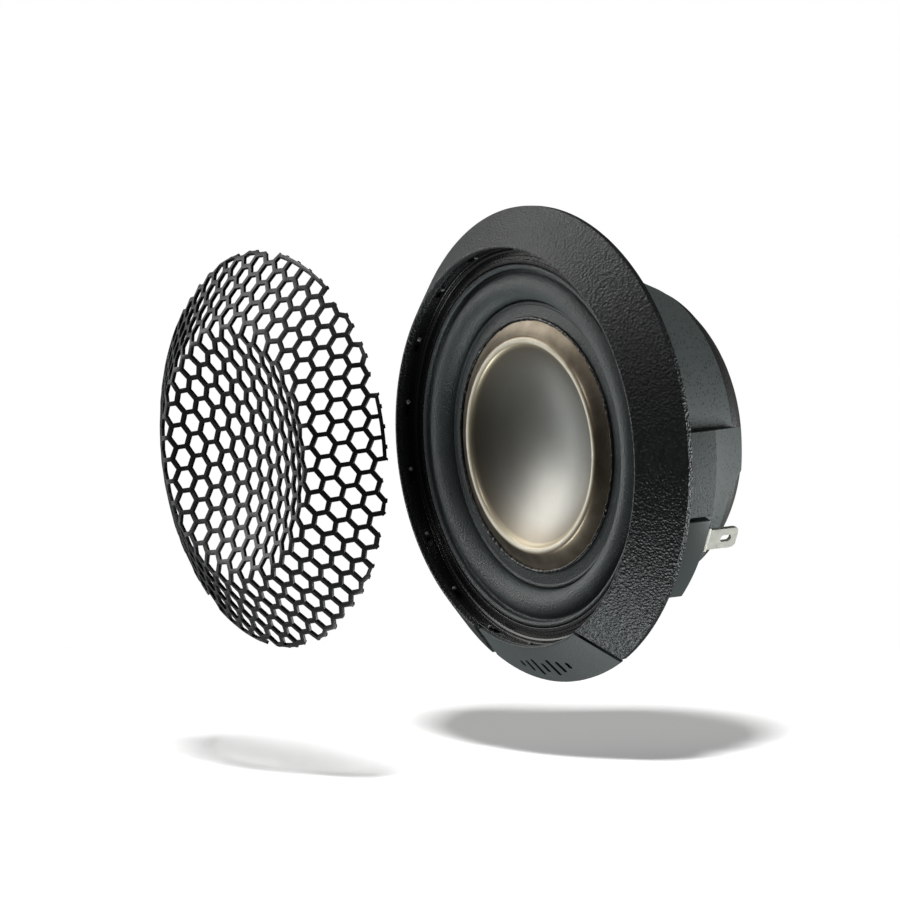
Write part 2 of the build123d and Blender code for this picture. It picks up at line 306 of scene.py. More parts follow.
def add_ramp(nodes, links, value, stops):
    """The colour for a value, from (position, colour) stops."""
    ramp = nodes.new("ShaderNodeValToRGB")
    elements = ramp.color_ramp.elements
    while len(elements) < len(stops):
        elements.new(0.5)
    for element, (position, colour) in zip(elements, stops):
        element.position = position
        element.color = (*colour, 1.0)
    links.new(value, ramp.inputs["Fac"])
    return ramp.outputs["Color"]


def add_math(nodes, links, operation, a, b):
    """One operation on two values, each a number or another node's output."""
    step = nodes.new("ShaderNodeMath")
    step.operation = operation
    for socket, value in zip(step.inputs, (a, b)):
        if isinstance(value, (int, float)):
            socket.default_value = value
        else:
            links.new(value, socket)
    return step.outputs[0]


def add_bump(nodes, links, height, bsdf, distance):
    """Relief from a height, its depth in millimetres."""
    bump = nodes.new("ShaderNodeBump")
    bump.inputs["Strength"].default_value = 1.0
    bump.inputs["Distance"].default_value = distance * MM
    links.new(height, bump.inputs["Height"])
    links.new(bump.outputs["Normal"], bsdf.inputs["Normal"])


def add_range(nodes, links, value, low, high):
    """Map a 0 to 1 value to a range."""
    step = nodes.new("ShaderNodeMapRange")
    step.inputs["To Min"].default_value = low
    step.inputs["To Max"].default_value = high
    links.new(value, step.inputs["Value"])
    return step.outputs["Result"]


def radius_of(nodes, links, place):
    """Distance from the speaker axis, in millimetres."""
    flat = nodes.new("ShaderNodeVectorMath")
    flat.operation = "MULTIPLY"
    flat.inputs[1].default_value = (1 / MM, 0.0, 1 / MM)
    links.new(place.outputs["Object"], flat.inputs[0])
    length = nodes.new("ShaderNodeVectorMath")
    length.operation = "LENGTH"
    links.new(flat.outputs["Vector"], length.inputs[0])
    return length.outputs["Value"]


def grained(name, dark, light, grain, depth, roughness=(0.4, 0.6), **values):
    """Moulded plastic or foam: two close tones, a grain of a given size in mm and its depth."""
    material, nodes, links, bsdf, place = shader(name, **values)
    cells = add_cells(nodes, links, place, 1 / (grain * MM))
    fine = add_noise(nodes, links, place, 1.6 / (grain * MM), 4.0)
    height = add_math(nodes, links, "ADD", cells, add_math(nodes, links, "MULTIPLY", fine, 0.8))
    add_bump(nodes, links, height, bsdf, depth)
    tone = add_noise(nodes, links, place, 120.0, 2.0)
    mixed = add_math(nodes, links, "MULTIPLY", add_math(nodes, links, "ADD", tone, fine), 0.5)
    links.new(add_ramp(nodes, links, mixed, [(0.3, dark), (0.7, light)]), bsdf.inputs["Base Color"])
    links.new(add_range(nodes, links, fine, *roughness), bsdf.inputs["Roughness"])
    return material


# ---- materials -------------------------------------------------------------
DOME_FINISH_R = 16.0          # the radius at position 1 of the dome's colours


def dome_material():
    """Satin metal: grey in the dish, darker and browner towards its rim, and bronze outside the crest;
    the crest carries a painted highlight, a pale cream, barely metallic band that stands in for the
    bright line of light round it.
    """
    material, nodes, links, bsdf, place = shader("dome_metal")
    radius = radius_of(nodes, links, place)
    scaled = add_math(nodes, links, "DIVIDE", radius, DOME_FINISH_R)
    cloud = add_noise(nodes, links, place, 420.0, 4.0)
    # painted highlight: the stops from 0.806 to 0.850 paint a pale cream band on the crest in place of
    # the light it catches; the other stops are the metal's tint, darker towards the dish's rim and
    # towards the outer edge
    tint_and_crest_highlight = add_ramp(nodes, links, scaled, [
        (0.0, (0.29, 0.295, 0.285)), (0.6, (0.27, 0.265, 0.245)), (0.765, (0.22, 0.195, 0.160)),
        (0.806, (0.60, 0.52, 0.38)), (0.826, (0.95, 0.90, 0.76)), (0.850, (0.34, 0.275, 0.20)),
        (0.88, (0.215, 0.185, 0.145)), (1.0, (0.18, 0.152, 0.118))])
    stain = nodes.new("ShaderNodeMix")
    stain.data_type = "RGBA"
    stain.blend_type = "MULTIPLY"
    links.new(add_ramp(nodes, links, scaled, [(0.80, (0.06,) * 3), (0.86, (0.6,) * 3)]),
              stain.inputs["Factor"])
    links.new(tint_and_crest_highlight, stain.inputs["A"])
    links.new(add_ramp(nodes, links, cloud, [(0.35, (0.50, 0.47, 0.43)), (0.62, (1, 1, 1))]),
              stain.inputs["B"])
    links.new(stain.outputs["Result"], bsdf.inputs["Base Color"])
    # painted highlight, continued: the metal turns almost non-metallic on the crest, so the pale band
    # looks evenly lit all round
    links.new(add_ramp(nodes, links, scaled, [
        (0.79, (1, 1, 1)), (0.815, (0.1, 0.1, 0.1)), (0.838, (0.1, 0.1, 0.1)), (0.86, (1, 1, 1))]),
        bsdf.inputs["Metallic"])
    fine = add_noise(nodes, links, place, 2600.0, 3.0)
    links.new(add_range(nodes, links, fine, 0.36, 0.46), bsdf.inputs["Roughness"])
    add_bump(nodes, links, fine, bsdf, 0.006)
    return material


def metal(name, colour, dark, roughness, metallic=1.0):
    """Plated or painted sheet: a fine mottled reflection."""
    material, nodes, links, bsdf, place = shader(name, Metallic=metallic)
    fine = add_noise(nodes, links, place, 900.0, 4.0)
    links.new(add_ramp(nodes, links, fine, [(0.3, dark), (0.7, colour)]), bsdf.inputs["Base Color"])
    rough = add_range(nodes, links, fine, roughness - 0.08, roughness + 0.08)
    links.new(rough, bsdf.inputs["Roughness"])
    add_bump(nodes, links, fine, bsdf, 0.01)
    return material


SPECK_PITCH = 0.55


def speckled(name, base, light, speck, grain, depth):
    """Grey moulded plastic with sparse dark specks in its grain."""
    material, nodes, links, bsdf, place = shader(name)
    fine = add_noise(nodes, links, place, 1 / (grain * MM), 3.0)
    tone = add_ramp(nodes, links, fine, [(0.3, base), (0.72, light)])
    dots = add_cells(nodes, links, place, 1.0 / (SPECK_PITCH * MM), 0.0)
    mask = add_ramp(nodes, links, dots, [(0.20, (1, 1, 1)), (0.30, (0, 0, 0))])
    mix = nodes.new("ShaderNodeMix")
    mix.data_type = "RGBA"
    links.new(mask, mix.inputs["Factor"])
    links.new(tone, mix.inputs["A"])
    mix.inputs["B"].default_value = (*speck, 1.0)
    links.new(mix.outputs["Result"], bsdf.inputs["Base Color"])
    links.new(add_range(nodes, links, fine, 0.45, 0.62), bsdf.inputs["Roughness"])
    add_bump(nodes, links, fine, bsdf, depth)
    return material


MATERIALS = {
    "ring_texture": grained("ring_texture", (0.007, 0.0088, 0.0092), (0.020, 0.0245, 0.025), 0.34, 0.12,
                            (0.32, 0.44)),
    "badge_plastic": grained("badge_plastic", (0.042, 0.050, 0.050), (0.062, 0.073, 0.073), 0.20, 0.03,
                             (0.48, 0.6)),
    "chassis_black": grained("chassis_black", (0.003, 0.003, 0.003), (0.007, 0.007, 0.008), 0.35, 0.012,
                             (0.18, 0.36)),
    "surround_foam": grained("surround_foam", (0.034, 0.042, 0.045), (0.066, 0.080, 0.084), 0.20, 0.07,
                             (0.36, 0.50)),
    # painted highlight: the pegs are black plastic like the chassis; this light grey stands in for the
    # glints on them
    "peg_painted_highlight": grained("peg_painted_highlight", (0.16, 0.17, 0.17), (0.26, 0.27, 0.27), 0.3, 0.004, (0.15, 0.25)),
    "dome_metal": dome_material(),
    "glue_black": grained("glue_black", (0.004, 0.004, 0.004), (0.010, 0.010, 0.010), 0.3, 0.03,
                          (0.2, 0.4)),
    "coil_former": grained("coil_former", (0.45, 0.28, 0.06), (0.60, 0.40, 0.12), 0.4, 0.01, (0.3, 0.4)),
    "coil_copper": metal("coil_copper", (0.80, 0.38, 0.18), (0.55, 0.22, 0.09), 0.28),
    "copper": metal("copper", (0.85, 0.50, 0.33), (0.62, 0.32, 0.20), 0.35),
    "felt": grained("felt", (0.03, 0.03, 0.032), (0.10, 0.10, 0.105), 0.25, 0.12, (0.85, 1.0)),
    "plated_steel": metal("plated_steel", (0.62, 0.63, 0.65), (0.45, 0.46, 0.48), 0.32),
    "magnet": metal("magnet", (0.70, 0.70, 0.71), (0.58, 0.58, 0.60), 0.18),
    "foam": grained("foam", (0.015, 0.015, 0.017), (0.06, 0.06, 0.065), 0.5, 0.3, (0.9, 1.0)),
    "housing_plastic": speckled("housing_plastic", (0.066, 0.078, 0.077), (0.104, 0.120, 0.117),
                                (0.012, 0.014, 0.014), 0.22, 0.05),
    "cover_plastic": grained("cover_plastic", (0.018, 0.017, 0.015), (0.034, 0.032, 0.029), 0.3, 0.03,
                             (0.45, 0.6)),
    "block_plastic": grained("block_plastic", (0.060, 0.070, 0.068), (0.072, 0.082, 0.080), 0.25, 0.006,
                             (0.36, 0.44)),
    "tin": metal("tin", (0.80, 0.78, 0.71), (0.70, 0.68, 0.61), 0.45, metallic=0.75),
    "wire_sleeve_red": grained("wire_sleeve_red", (0.22, 0.01, 0.01), (0.32, 0.02, 0.02), 0.3, 0.01),
    "wire_sleeve_black": grained("wire_sleeve_black", (0.01, 0.01, 0.01), (0.02, 0.02, 0.02), 0.3, 0.01),
    "solder": metal("solder", (0.75, 0.75, 0.77), (0.60, 0.60, 0.62), 0.22),
    "grille_paint": grained("grille_paint", (0.003, 0.003, 0.004), (0.008, 0.009, 0.010), 0.25, 0.012,
                            (0.34, 0.48), Specular_IOR_Level=0.35),
}


def dress(piece, body, slot, *nodes, material=None):
    """Give a piece its finish and its body, if one body holds all of it, and hide the CAD nodes it stands
    for.
    """
    piece.data.materials.clear()
    piece.data.materials.append(MATERIALS[material or slot])
    if body:
        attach(piece, body)
    if nodes:
        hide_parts(*nodes)
    return piece


# ---- trim ring and badge insert --------------------------------------------
CONE_SUM = FLANGE_R + FLANGE_EDGE   # radius less y, anywhere on the ring's cone
BADGE_HALF = 10.5             # half the width of the badge insert's place at its near end
BADGE_NEAR = 22.5             # how far below the axis that end is
BADGE_FLARE = 0.76            # how much wider each side gets per millimetre further out
BADGE_SLOT = 1.0              # the open slot at each end of the insert
BADGE_SINK = 0.25             # how far the insert's face lies below the ring's
BAR_TURN = 3.3                # degrees from one engraved bar to the next
BAR_LENGTHS = (1.2, 2.1, 3.1, 1.8, 3.1, 2.1, 1.2)
BAR_R = 28.0
BAR_DEPTH = 0.32


def badge_half_angle(r, gap):
    """Half the angle that the badge insert takes at a radius, in degrees."""
    # its side is the line x = half + flare * (depth - near), where depth is -z
    a = 1 + BADGE_FLARE ** 2
    c = BADGE_HALF - gap - BADGE_FLARE * BADGE_NEAR
    b = 2 * BADGE_FLARE * c
    depth = (-b + sqrt(b * b - 4 * a * (c * c - r * r))) / (2 * a)
    return atan2(c + BADGE_FLARE * depth, depth) * 180 / pi


def ring_outline(sink):
    """Section of the ring; sink lowers its face."""
    face = CONE_SUM - sink
    return [(RECESS_R + 0.05, -4.6, 0.05), (RECESS_R + 0.05, LIP_Y + sink + 0.02, 0.18),
            (face + LIP_Y + sink + 0.02, LIP_Y + sink + 0.02, 0.14), (FLANGE_R, FLANGE_R - face, 0.16),
            (FLANGE_R - 0.06, -0.02, 0.14), (28.4, 0.0, 0.05), (25.75, -2.65, 0.1),
            (25.75, -4.6, 0.05)]


def leather(points, normals):
    """Coarse moulded grain on the ring's sloping face, in millimetres."""
    out = np.zeros(points.shape[:2])
    r = np.hypot(points[..., 0], points[..., 2])
    mask = (r > 25.6) & (r < FLANGE_R - 0.9) & (normals[..., 1] < -0.5)
    for i, j in zip(*np.nonzero(mask)):
        p = Vector(points[i, j])
        out[i, j] = 0.008 * noise.noise(p * 3.3) + 0.024 * noise.noise(p * 6.4)
    return out


def make_ring():
    """The grained cone, open where the badge insert lies."""
    outline = divided(rounded(ring_outline(0.0)), 0.11)

    def span(r):
        half = badge_half_angle(r, 0.0)
        return 270 + half, 630 - half
    ring = lathe("trim_ring_moulding", outline, 1700, span, leather, sharp=50)
    return dress(ring, "root", "ring_texture", "trim_ring")


def capsule(length, width):
    """A flat outline with round ends, along x."""
    steps = 10
    out = []
    for side in (1, -1):
        for k in range(steps + 1):
            t = (-pi / 2 + pi * k / steps) + (0 if side > 0 else pi)
            out.append((side * (length - width) / 2 + width / 2 * cos(t), width / 2 * sin(t)))
    return out


def make_badge():
    """The smooth insert at the bottom, with a row of engraved level bars."""
    outline = divided(rounded(ring_outline(BADGE_SINK)), 0.5)

    def span(r):
        half = badge_half_angle(r, BADGE_SLOT)
        return 270 - half, 270 + half
    badge = lathe("badge_insert_moulding", outline, 120, span, sharp=40)
    bars = []
    for step, length in zip(range(-3, 4), BAR_LENGTHS):
        angle = 270 + BAR_TURN * step
        middle = round_axis(angle, BAR_R, BAR_R - CONE_SUM + BADGE_SINK)
        radial = round_axis(angle, 1.0, 0.0)
        slope = (radial + Vector((0, 1, 0))).normalized()
        normal = (radial - Vector((0, 1, 0))).normalized()
        place = placed(middle - normal * BAR_DEPTH, slope, normal)
        bars.append(slab("bar", capsule(length, 0.62), 1.0, place))
    cut(badge, bars, sharp=40)
    return dress(badge, "root", "badge_plastic", "badge_insert")


# ---- recess: chassis, clamp ring -------------------------------------------
SNAPS = 18                    # snap sockets round the recess, each with a peg beside it
SNAP_Y = -3.75


def make_chassis():
    """The wall and floor of the recess, with its sockets; its pegs are a piece of their own."""
    outline = rounded([
        (RECESS_R, -4.6, 0.05), (25.65, -4.6, 0.05), (25.65, -2.6, 0.1), (28.25, -0.02, 0.05),
        (22.0, -0.02, 0.1), (20.9, 2.6, 0.2), (17.6, 2.6, 0.2), (17.6, 6.0, 0.2), (16.65, 6.0, 0.2),
        (16.65, 1.2, 0.2), (20.2, 1.2, 0.3), (21.3, -1.2, 0.2), (21.3, -1.9, 0.1), (24.3, -1.9, 0.1),
        (24.3, FLOOR_Y, 0.08), (24.55, FLOOR_Y - 0.12, 0.06), (24.8, FLOOR_Y, 0.06),
        (RECESS_R, FLOOR_Y, 0.1)])
    chassis = lathe("recess_chassis", outline, 360)
    sockets = []
    pegs = []
    for index in range(SNAPS):
        angle = 10 + index * 360 / SNAPS
        inward = -round_axis(angle, 1.0, 0.0)
        along = round_axis(angle + 90, 1.0, 0.0)
        socket = placed(round_axis(angle, RECESS_R + 0.42, SNAP_Y), along, inward)
        sockets.append(slab("socket", capsule(1.5, 0.8), 0.9, socket))
        peg = placed(round_axis(angle - 2.6, RECESS_R + 0.05, SNAP_Y - 0.1), along, inward)
        pegs.append(bevelled(slab("peg", capsule(0.54, 0.50), 0.34, peg), 0.12))
    cut(chassis, sockets)
    # the pegs' light grey finish is a painted highlight for their glints; their plastic is the chassis's
    # black
    dress(join("snap_pegs", pegs, sharp=40), "root", "chassis_black", material="peg_painted_highlight")
    return dress(chassis, "root", "chassis_black", "front_chassis")


def make_clamp_ring():
    """The fine steps on the floor of the recess."""
    outline = rounded([
        (22.98, -2.4, 0.03), (22.98, -2.95, 0.06), (23.42, -2.95, 0.05), (23.47, -2.80, 0.04),
        (23.86, -2.80, 0.05), (23.91, -2.66, 0.04), (24.3, -2.66, 0.05), (24.3, -2.4, 0.03)])
    ring = lathe("clamp_ring_steps", outline, 300)
    return dress(ring, "root", "chassis_black", "surround_clamp_ring")


# ---- diaphragm -------------------------------------------------------------
DOME_EDGE_R = 15.83
CREST_R = 13.22
CREST_Y = -2.95
DISH_Y = 0.95                 # where the dish's middle lies
DOME_SHEET = 0.16
SURROUND_SHEET = 0.42


def dome_line(shift):
    """Front line of the M-shaped dome, from its edge to the axis."""
    steps = 40
    edge = [(DOME_EDGE_R, -1.78), (DOME_EDGE_R - 0.35, -1.90), (CREST_R + 0.62, CREST_Y + 0.33)]
    crest = arc(edge[-1], (CREST_R, CREST_Y), (CREST_R - 0.50, CREST_Y + 0.30), 14)
    rim_r, rim_y = crest[-1]
    depth = DISH_Y - rim_y
    sphere = (rim_r ** 2 + depth ** 2) / (2 * depth)
    radii = [rim_r * (1 - k / steps) for k in range(1, steps + 1)]
    dish = [(r, DISH_Y + sqrt(sphere ** 2 - r * r) - sphere) for r in radii]
    return [(r, y + shift) for r, y in edge[:-1] + crest + dish]


def make_dome():
    """The thin M-shaped dome."""
    outline = dome_line(0.0) + list(reversed(dome_line(DOME_SHEET)))
    return dress(lathe("m_dome", outline, 360, sharp=60), "diaphragm", "dome_metal", "dome")


def uneven(points, normals):
    """The glue line wanders in and out by a few hundredths of a millimetre."""
    out = np.zeros(points.shape[:2])
    for i, j in np.ndindex(out.shape):
        if normals[i, j, 1] > 0.6:
            continue
        p = Vector(points[i, j])
        out[i, j] = 0.09 * max(0.0, noise.noise(p * 1.7) + 0.15) + 0.07 * noise.noise(p * 4.1)
    return out


def make_glue():
    """The glue line round the dome's edge."""
    inner, outer = DOME_EDGE_R - 0.10, DOME_EDGE_R + 0.32
    bead = arc((inner, -1.88), (DOME_EDGE_R + 0.10, -2.06), (outer, -1.90), 8)
    outline = bead + [(outer, -1.70), (inner, -1.70)]
    glue = lathe("dome_glue_line", outline, 720, relief=uneven, sharp=60)
    return dress(glue, "diaphragm", "glue_black", "dome_adhesive")


def surround_line():
    """Front line of the surround from its inner edge to its clamped flange."""
    land = [(DOME_EDGE_R + 0.02, -1.80), (17.55, -1.47)]
    ridge = arc((17.62, -1.46), (17.86, -1.60), (18.10, -1.36), 6)
    roll = arc((18.24, -1.30), (19.98, -3.22), (21.78, -2.20), 26)
    groove = [(21.95, -2.12), (22.14, -2.2)]
    bead = arc((22.24, -2.45), (22.56, -3.02), (22.90, -2.55), 12)
    return land + ridge + roll + groove + bead


def make_surround():
    """The half roll between the dome and the chassis; it is attached to neither of their bodies."""
    front = surround_line()
    rear = [(r, y + SURROUND_SHEET) for r, y in reversed(front)]
    outline = front + [(22.93, -2.32), (24.2, -2.32), (24.2, -1.96), (22.9, -1.96)] + rear[1:]
    roll = lathe("surround_roll", outline, 360, sharp=60)
    return dress(roll, None, "surround_foam", "surround")


make_ring()
make_badge()
make_chassis()
make_clamp_ring()
make_dome()
make_glue()
surround_piece = make_surround()
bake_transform(surround_piece)


# ---- rear: housing, cover, terminal blocks, terminals, leads ----------------
HOUSING_FRONT_R = 24.2
HOUSING_REAR_R = 19.06
SPIGOT_LENGTH = 2.5
WALL = 1.2
PAD_REAR_Y = 6.8


def shell_r(y):
    """Outer radius of the tapered shell at a depth."""
    share = (y - SPIGOT_LENGTH) / (HOUSING_REAR_Y - SPIGOT_LENGTH)
    return HOUSING_FRONT_R - (HOUSING_FRONT_R - HOUSING_REAR_R) * share


def make_pad(side):
    """The guide pad on one side, with its lower rear corner cut on a slant."""
    ends = (-21.0, 3.0) if side > 0 else (177.0, 201.0)
    outline = rounded([(22.8, 1.2, 0.0), (GUIDE_R, 1.2, 0.0), (GUIDE_R, PAD_REAR_Y, 0.12),
                       (20.8, 14.65, 0.2), (18.8, 14.65, 0.0)])
    pad = lathe("pad", outline, 60, lambda r: ends, sharp=25)
    corner = [(0, -10.6), (9, -3.4), (9, -14), (0, -14)]
    # the wedge lies in the Y, Z plane and runs outwards
    turn = Matrix(((0, 0, side), (1, 0, 0), (0, 1, 0))).to_4x4()
    wedge = slab("wedge", corner, 30.0, Matrix.Translation((0, PAD_REAR_Y, 0)) @ turn)
    return cut(pad, [wedge], sharp=25)


def make_housing():
    """The tapered shell with its collar, its two guide pads and the holes for the leads."""
    outline = rounded([
        (22.2, 0.05, 0.1), (SPIGOT_R, 0.05, 0.15), (SPIGOT_R, SPIGOT_LENGTH, 0.15),
        (HOUSING_FRONT_R, SPIGOT_LENGTH, 0.2), (HOUSING_REAR_R, HOUSING_REAR_Y, 0.35),
        (HOUSING_REAR_R - WALL, HOUSING_REAR_Y, 0.1), (HOUSING_FRONT_R - WALL, SPIGOT_LENGTH, 0.2),
        (22.2, 1.5, 0.1)])
    shell = lathe("rear_housing_shell", outline, 360)
    for side in (1, -1):
        cut(shell, [make_pad(side)], operation="UNION")
    cut(shell, [lead_tube(side, LEAD_HOLE_R, first=1, last=3, name="hole") for side in (1, -1)])
    bevelled(shell, 0.08, 2, 20)
    return dress(shell, "root", "housing_plastic", "housing")


TERMINAL_ANGLE = -28.6        # of the right terminal
LEAD_R = 0.4
LEAD_HOLE_R = 0.6
TAB_SHEET = 0.5
TAB_WIDTH = 2.8
BLADE_R = GUIDE_R - 0.3
FOOT_TOP = BLOCK_REAR_Y + TAB_SHEET
SOLDER_R = 23.6               # where a lead ends on its terminal's foot
LEAD_POINTS = [(19.0, 0.6), (19.0, 4.8), (19.0, 9.0), (21.3, 8.75), (SOLDER_R, 8.5),
               (SOLDER_R, FOOT_TOP + 0.1)]


def side_angle(side):
    """The terminal's angle on the right or left side."""
    return TERMINAL_ANGLE if side > 0 else 180 - TERMINAL_ANGLE


def lead_tube(side, radius, first=0, last=5, name="lead"):
    """A round tube along the lead's route, or along a stretch of it."""
    angle = side_angle(side)
    route = [round_axis(angle, r, y) for r, y in LEAD_POINTS[first:last + 1]]
    path = []
    for index, point in enumerate(route):
        if index in (0, len(route) - 1):
            path.append(point)
            continue
        back = (route[index - 1] - point).normalized() * 0.45
        on = (route[index + 1] - point).normalized() * 0.45
        path += [point + back * (1 - t) ** 2 + on * t ** 2 for t in (0, 0.25, 0.5, 0.75, 1)]
    across = round_axis(angle + 90, 1.0, 0.0)
    steps = 16
    verts, faces = [], []
    for index, point in enumerate(path):
        ahead = (path[min(index + 1, len(path) - 1)] - path[max(index - 1, 0)]).normalized()
        other = ahead.cross(across).normalized()
        for k in range(steps):
            turn = 2 * pi * k / steps
            verts.append(point + (across * cos(turn) + other * sin(turn)) * radius)
    for i in range(len(path) - 1):
        for k in range(steps):
            m = (k + 1) % steps
            faces.append((i * steps + k, i * steps + m, (i + 1) * steps + m, (i + 1) * steps + k))
    faces.append(list(range(steps)))
    faces.append(list(reversed(range(len(verts) - steps, len(verts)))))
    return finish_mesh(name, [tuple(v) for v in verts], faces, sharp=50)


def make_leads():
    """The two sleeved leads from inside the shell to the terminals."""
    for (side, word), slot in zip(SIDES, ("wire_sleeve_red", "wire_sleeve_black")):
        dress(lead_tube(side, LEAD_R, name=f"lead_sleeve_{word}"), "root", slot, f"lead_wire_{word}")


def make_cover():
    """The cap at the back: a shallow dome with a flat dimple, and a skirt inside the shell."""
    inside = arc((13.8, 17.8), (16.1, 16.7), (17.5, 14.9), 10)
    skirt = [(17.5, 13.4), (17.2, 13.4), (17.2, 12.6), (18.0, 12.6), (17.8, HOUSING_REAR_Y + 0.05)]
    edge = rounded([(17.8, HOUSING_REAR_Y + 0.05), (18.75, HOUSING_REAR_Y + 0.05, 0.12),
                    (18.4, HOUSING_REAR_Y + 1.4)])[1:-1]
    outside = arc((18.57, HOUSING_REAR_Y + 0.5), (17.3, 17.2), (14.4, BACK_Y - 0.02), 20)
    dimple = rounded([(14.0, BACK_Y), (6.2, BACK_Y), (5.9, BACK_Y - 0.35), (0.0, BACK_Y - 0.35)], 0.12)
    dimple = [p for p in dimple if p[0] > 0.5] + [(0.0, BACK_Y - 0.35)]
    outline = [(0, 17.8)] + inside + skirt + edge + outside + dimple
    return dress(lathe("rear_cap", outline, 300, sharp=40), "root", "cover_plastic", "rear_cover")


def make_blocks():
    """The arc-shaped terminal blocks behind the flange."""
    outline = [(shell_r(2.6) + 0.05, 2.6), (GUIDE_R, 2.6), (GUIDE_R, BLOCK_REAR_Y),
               (shell_r(BLOCK_REAR_Y) + 0.05, BLOCK_REAR_Y)]
    for side, word in SIDES:
        ends = (-49.0, -22.3) if side > 0 else (202.3, 229.0)
        block = lathe(f"terminal_block_arc_{word}", outline, 48, lambda r: ends, sharp=40)
        bevelled(block, 0.18, 4, 50)
        dress(block, "root", "block_plastic", f"terminal_block_{word}")


def tab_outline():
    """The blade seen flat: x along its length to the rear, y across, with chamfered end corners."""
    half, end = TAB_WIDTH / 2, 4.8
    return [(0, -half), (end - 0.75, -half), (end - 0.3, -half + 0.12), (end - 0.06, -half + 0.4),
            (end, -half + 0.8), (end, half - 0.8), (end - 0.06, half - 0.4), (end - 0.3, half - 0.12),
            (end - 0.75, half), (0, half)]


def make_terminals():
    """The tabs with their locking holes, each on a foot folded over its block."""
    for side, word in SIDES:
        angle = side_angle(side)
        outward = round_axis(angle, 1.0, 0.0)
        across = Vector((0, 1, 0)).cross(outward) * -1
        blade_at = placed(round_axis(angle, BLADE_R - TAB_SHEET / 2, BLOCK_REAR_Y), (0, 1, 0), outward)
        blade = slab("blade", tab_outline(), TAB_SHEET, blade_at)
        hole_at = placed(round_axis(angle, BLADE_R - 1, BLOCK_REAR_Y + 3.05), (0, 1, 0), outward)
        cut(blade, [slab("hole", capsule(1.7, 0.95), 2.0, hole_at)])
        foot_half = TAB_WIDTH / 2 + 0.25
        foot_at = placed(round_axis(angle, BLADE_R + TAB_SHEET / 2, BLOCK_REAR_Y), -outward, (0, 1, 0))
        foot = slab("foot", [(0, -foot_half), (2.85, -foot_half), (2.85, foot_half), (0, foot_half)],
                    0.42, foot_at)
        cut(blade, [foot], operation="UNION")
        bevelled(blade, 0.09, 3, 40)
        blade.name = f"tab_{word}"
        dress(blade, "root", "tin", f"terminal_{word}")


def make_solder():
    """A drop of solder where each lead ends on its terminal's foot."""
    outline = [(0, 0), (0.8, 0.0)] + arc((0.78, 0.06), (0.62, 0.34), (0.42, 0.52), 6) + [(0, 0.56)]
    drops = []
    for side in (1, -1):
        drop = lathe("drop", outline, 24, sharp=60)
        centre = round_axis(side_angle(side), SOLDER_R, FOOT_TOP - 0.06) * MM
        drop.data.transform(Matrix.Translation(centre))
        drops.append(drop)
    dress(join("solder_drops", drops, sharp=60), "root", "solder", "solder_joints")


make_housing()
make_cover()
make_blocks()
make_terminals()
make_leads()
make_solder()


# ---- grille ----------------------------------------------------------------
PITCH = 2.78                  # from hole to hole
STRAND = 0.58
SHEET = 0.44
CREST_FRONT = 5.75            # height of the crest over the rim
LATTICE_TURN = radians(6.0)   # the holes' rows lean against the upright
LATTICE_SHIFT = (-0.90, -0.93)
RIM_CELL = 0.55               # a cell whose middle is nearer the rim than this is cut open
BUMP = 0.16                   # how far a strand's stub stands out at the rim
CORNER = PITCH / sqrt(3)      # from a cell's middle to its corner
COLUMN = PITCH * cos(pi / 6)  # from one column of cells to the next


def grille_meridian():
    """The formed sheet's middle line as (radius, height in front of the rim), from the axis out."""
    bowl = arc((0.0, 2.45), (7.0, 3.2), (13.75, 5.28), 30)
    crest = arc((13.85, 5.32), (15.2, CREST_FRONT - 0.03), (16.45, 5.25), 12)
    flank = [(16.6, 5.17), (GRILLE_R - 1.25, 0.92)]
    rim = arc((GRILLE_R - 1.1, 0.82), (GRILLE_R - 0.5, 0.45), (GRILLE_R - 0.2, 0.0), 8)
    points = np.array(bowl + crest + flank + rim)
    length = np.concatenate([[0], np.cumsum(np.hypot(*np.diff(points, axis=0).T))])
    return points, length


def corner_key(cell, k):
    """Name of the lattice point at a cell's corner, the same from each of its three cells."""
    x, z = cell[0] + CORNER * cos(pi / 3 * k), cell[1] + CORNER * sin(pi / 3 * k)
    return round(x, 2) + 0.0, round(z, 2) + 0.0


def on_sheet(points):
    """Points of the lattice, turned and shifted to where they lie on the flat sheet."""
    turn = np.array([[cos(LATTICE_TURN), sin(LATTICE_TURN)], [-sin(LATTICE_TURN), cos(LATTICE_TURN)]])
    return np.array(points) @ turn + LATTICE_SHIFT


